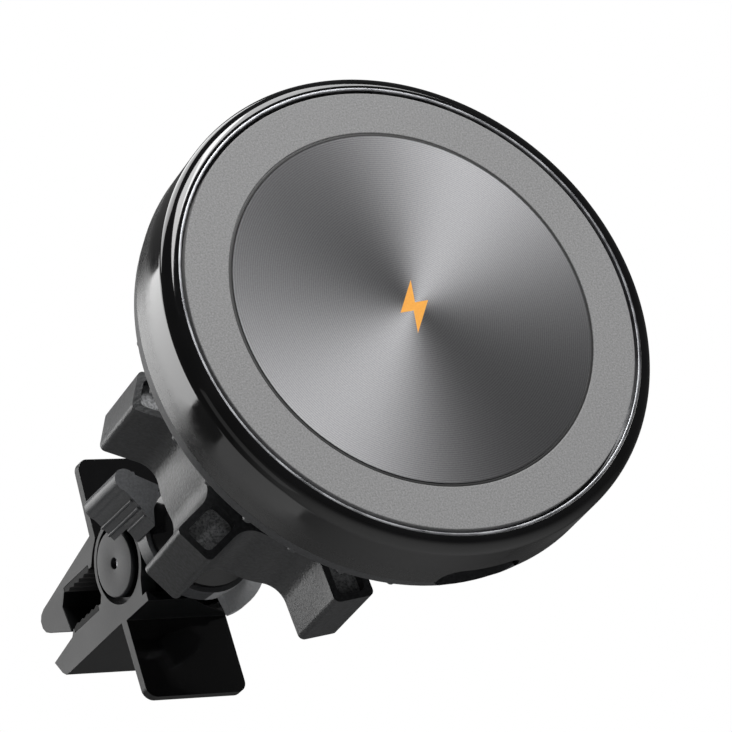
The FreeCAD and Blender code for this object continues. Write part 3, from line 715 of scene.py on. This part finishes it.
# ------------------------------------------------------------------------------------------- the clip
@dataclass
class VentClip:
    """The neck, the lock ring, the two levers with their jaws, and the pivot."""

    lean: Lean = field(default_factory=Lean)
    pivot_depth: float = 72.3
    pivot_rise: float = 0.6
    cap: float = 4.4
    cap_from: float = 7.56
    cap_to: float = 8.0
    cap_hole: float = 0.75
    wing_from: float = 6.6
    painted_reflection_from: float = 7.0
    neck_edge: float = 0.25
    lever_edge: float = 0.22
    jaw_edge: float = 0.06
    ring_edge: tuple[float, float] = (0.12, 40.0)

    def lever(self, node: str, name: str, body: Body) -> None:
        """A lever whose wing has polished faces.

        Args:
            node: the CAD node.
            name: the piece's name.
            body: the lever's body.
        """
        piece = moulded_copy(node, name, self.lever_edge)
        piece.data.materials.append(LEVER_SATIN.material())
        piece.data.materials.append(WING_GLOSS.material())
        centres, normals = face_places(piece.data)
        upright = self.lean.upright(centres)
        facing = (normals @ self.lean.turn())[:, 1]
        rise = np.abs(upright[:, 2] - self.pivot_rise)
        wing = (rise > self.wing_from) & (np.abs(facing) > 0.8) & (upright[:, 1] < self.pivot_depth + 5)
        piece.data.polygons.foreach_set("material_index", wing.astype(np.int32))
        own(piece, LEVER_SATIN, body, "lever_satin", node)

    def lock_piece(self) -> bpy.types.Object:
        """The lock ring; its thumb plate faces get a paler colour than the ribbed lug, a painted reflection.
        """
        piece = moulded_copy("lock_ring", "thumb_ring", *self.ring_edge)
        piece.data.materials.append(RING_SATIN.material())
        piece.data.materials.append(PLATE_PAINTED_REFLECTION.material())
        upright = self.lean.upright(face_places(piece.data)[0])
        reach = np.hypot(upright[:, 0], upright[:, 2])
        # the thumb plate's faces, which take the painted reflection
        plate = (upright[:, 0] > 0) & (reach > self.painted_reflection_from)
        piece.data.polygons.foreach_set("material_index", plate.astype(np.int32))
        return piece

    def cap_piece(self, side: int) -> Surface:
        """A pivot cap: a disc turned about the pin, its rim rounded and its middle drilled."""
        corners = [(self.cap_hole, self.cap_from, 0), (self.cap, self.cap_from, 0),
                   (self.cap, self.cap_to, 0.18), (self.cap_hole, self.cap_to, 0.1)]
        disc = turned(rounded(corners, 6), 128)
        points = disc.points[:, [1, 0, 2]] * np.array([side, 1, 1])
        points = points + np.array([0, self.pivot_depth, self.pivot_rise])
        return self.lean.leant(Surface(points, disc.faces))

    def build(self) -> None:
        """Makes and dresses every piece of the clip."""
        own(moulded_copy("clip_neck", "neck", self.neck_edge), NECK_GLOSS, Body.CLIP, "neck_gloss",
            "clip_neck")
        own(self.lock_piece(), RING_SATIN, Body.LOCK_RING, "ring_satin", "lock_ring")
        self.lever("upper_lever", "lever_up", Body.UPPER_LEVER)
        self.lever("lower_lever", "lever_down", Body.LOWER_LEVER)
        own(moulded_copy("upper_jaw_pad", "jaw_up", self.jaw_edge), JAW_RUBBER, Body.UPPER_LEVER,
            "jaw_rubber", "upper_jaw_pad")
        own(moulded_copy("lower_jaw_pad", "jaw_down", self.jaw_edge), JAW_RUBBER, Body.LOWER_LEVER,
            "jaw_rubber", "lower_jaw_pad")
        for side, word in ((-1, "left"), (1, "right")):
            own(even(self.cap_piece(side).piece("cap_" + word)), CAP_SATIN, Body.CLIP, "cap_satin",
                "pivot_cap_" + word)
        keep("pivot_pin", PIN_STEEL)
        keep("torsion_spring", SPRING_WIRE)


# ------------------------------------------------------------------------------------------- the studio
@dataclass(frozen=True)
class Softbox:
    """A square or oblong light, placed by its direction from the mount's middle and aimed back at it."""

    name: str
    direction: tuple[float, float, float]
    distance: float
    size: tuple[float, float]
    glow: float

    def place(self, middle: Vector) -> None:
        """Puts the light in the scene; its power is its glow times pi times its area."""
        light = bpy.data.lights.new(self.name, "AREA")
        light.shape = "RECTANGLE"
        light.size, light.size_y = self.size
        light.energy = self.glow * math.pi * self.size[0] * self.size[1]
        lamp = bpy.data.objects.new(self.name, light)
        away = Vector(self.direction).normalized()
        lamp.location = middle + away * self.distance
        lamp.rotation_euler = away.to_track_quat("Z", "Y").to_euler()
        bpy.context.scene.collection.objects.link(lamp)


@dataclass
class Studio:
    """The pale floor, the soft lights and the camera."""

    middle: tuple[float, float, float] = (0.0, 0.03, 0.0)
    floor_level: float = -0.9
    floor_half: float = 3.0
    fill: float = 0.08
    lens: float = 211.2
    seat: tuple[float, float, float] = (-0.2558, -0.3960, -0.1665)
    right: tuple[float, float, float] = (0.853, -0.3917, -0.3451)
    up: tuple[float, float, float] = (0.15, -0.4497, 0.8808)
    softboxes: tuple[Softbox, ...] = (
        Softbox("overhead", (-0.15, 0.35, 0.92), 0.9, (0.8, 0.6), 4.0),
        Softbox("back_left", (-0.42, 0.80, 0.40), 1.0, (0.5, 0.6), 3.4),
        Softbox("key", (0.06, -0.72, 0.70), 1.0, (0.5, 0.5), 10.5),
        Softbox("key_side", (0.34, -0.64, 0.68), 1.0, (0.4, 0.5), 7.5),
        Softbox("low", (-0.85, -0.42, -0.30), 1.0, (0.5, 0.8), 0.3),
        Softbox("back_low", (-0.56, 0.76, -0.34), 1.1, (0.45, 0.6), 0.5),
    )

    def floor(self) -> None:
        """A pale plain floor well below the mount."""
        half = self.floor_half
        corners = [(-half, -half, self.floor_level), (half, -half, self.floor_level),
                   (half, half, self.floor_level), (-half, half, self.floor_level)]
        mesh = bpy.data.meshes.new("floor")
        mesh.from_pydata(corners, [], [(0, 1, 2, 3)])
        floor = bpy.data.objects.new("floor", mesh)
        bpy.context.scene.collection.objects.link(floor)
        paint = Moulded("pale_floor_paint", "#f4f4f4", 0.8, 1.5, deep="#efefef", grain=40.0, pits=0.0)
        mesh.materials.append(paint.material())

    def surroundings(self) -> None:
        """White where the camera looks past the mount, and a dim even room for the surfaces to see."""
        world = bpy.data.worlds.new("room")
        bpy.context.scene.world = world
        world.use_nodes = True
        tree = world.node_tree
        tree.nodes.clear()
        dim = add(tree, "Background", Color=(1, 1, 1, 1), Strength=self.fill)
        white = add(tree, "Background", Color=(1, 1, 1, 1), Strength=1.0)
        path = add(tree, "LightPath")
        mix = add(tree, "MixShader", i0=path.outputs["Is Camera Ray"], i1=dim.outputs[0], i2=white.outputs[0])
        add(tree, "OutputWorld", Surface=mix.outputs[0])

    def camera(self) -> None:
        """The camera, from its place and its own right and up directions."""
        data = bpy.data.cameras.new("camera")
        data.lens, data.sensor_width = self.lens, 36.0
        data.clip_start, data.clip_end = 0.05, 20.0
        camera = bpy.data.objects.new("camera", data)
        right = Vector(self.right).normalized()
        back = right.cross(Vector(self.up)).normalized()
        up = back.cross(right)
        turn = Matrix((right, up, back)).transposed()
        camera.matrix_world = Matrix.Translation(self.seat) @ turn.to_4x4()
        bpy.context.scene.collection.objects.link(camera)
        bpy.context.scene.camera = camera

    def build(self) -> None:
        """Sets up the room, the lights, the camera and how tones are shown."""
        self.floor()
        self.surroundings()
        for softbox in self.softboxes:
            softbox.place(Vector(self.middle))
        self.camera()
        bpy.context.scene.view_settings.view_transform = "Standard"


def main() -> None:
    """Builds the mount part by part, then the studio."""
    for part in (PadFace(), PadInside(), PadBack(), BallJoint(), VentClip(), Studio()):
        LOG.info("-- %s", type(part).__name__)
        part.build()


if __name__ == "__main__":
    main()
